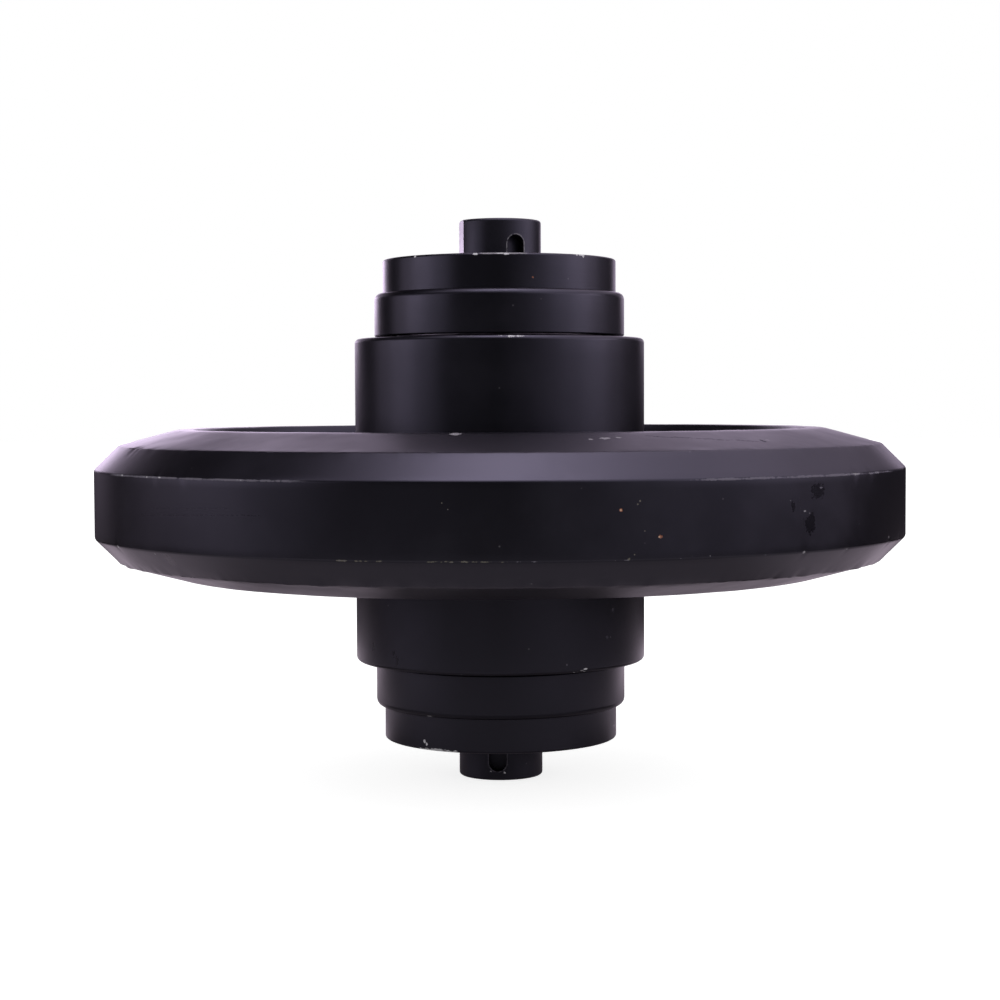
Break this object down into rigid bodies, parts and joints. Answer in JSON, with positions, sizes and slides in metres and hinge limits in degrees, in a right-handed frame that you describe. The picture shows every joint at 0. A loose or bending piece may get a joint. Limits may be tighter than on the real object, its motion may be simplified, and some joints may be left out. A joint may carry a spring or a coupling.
{
  "type": "idler wheel",
  "caption": "Steel track idler wheel with a chamfered tread, welded web and hub, turning on a sealed oil-filled axle with stepped collars and slotted axle ends.",
  "frame": {"origin": "centre of the wheel, on the axle's line and midway between the two axle ends", "axes": "+Z along the axle, up as pictured; -Y towards the picture's viewer; +X to the viewer's right"},
  "size_m": [0.4, 0.4, 0.2774],
  "materials": {
    "wheel_paint": "satin black enamel",
    "collar_paint": "satin black enamel",
    "axle_paint": "satin black enamel, chipped at the edges",
    "weld_paint": "black enamel over a weld bead",
    "bearing_bronze": "machined bronze",
    "seal_iron": "lapped hard iron",
    "seal_rubber": "matt black rubber",
    "ground_steel": "ground steel",
    "copper": "soft copper"
  },
  "bodies": {
    "axle_assembly": {"axle": "axle_paint", "upper_collar": "collar_paint", "upper_lock_pin": "ground_steel", "upper_o_ring": "seal_rubber", "upper_collar_seal_ring": "seal_iron", "upper_collar_toric": "seal_rubber", "lower_collar": "collar_paint", "lower_lock_pin": "ground_steel", "lower_o_ring": "seal_rubber", "lower_collar_seal_ring": "seal_iron", "lower_collar_toric": "seal_rubber", "oil_plug": "ground_steel", "plug_washer": "copper"},
    "wheel": {"rim": "wheel_paint", "web_disc": "wheel_paint", "hub": "wheel_paint", "upper_rim_weld": "weld_paint", "upper_hub_weld": "weld_paint", "upper_bushing": "bearing_bronze", "upper_thrust_washer": "bearing_bronze", "upper_hub_seal_ring": "seal_iron", "upper_hub_toric": "seal_rubber", "lower_rim_weld": "weld_paint", "lower_hub_weld": "weld_paint", "lower_bushing": "bearing_bronze", "lower_thrust_washer": "bearing_bronze", "lower_hub_seal_ring": "seal_iron", "lower_hub_toric": "seal_rubber"}
  },
  "joints": [
    {"name": "wheel_spin", "type": "hinge", "parent": "axle_assembly", "child": "wheel", "pos_m": [0, 0, 0], "axis": [0, 0, 1], "continuous": true}
  ]
}
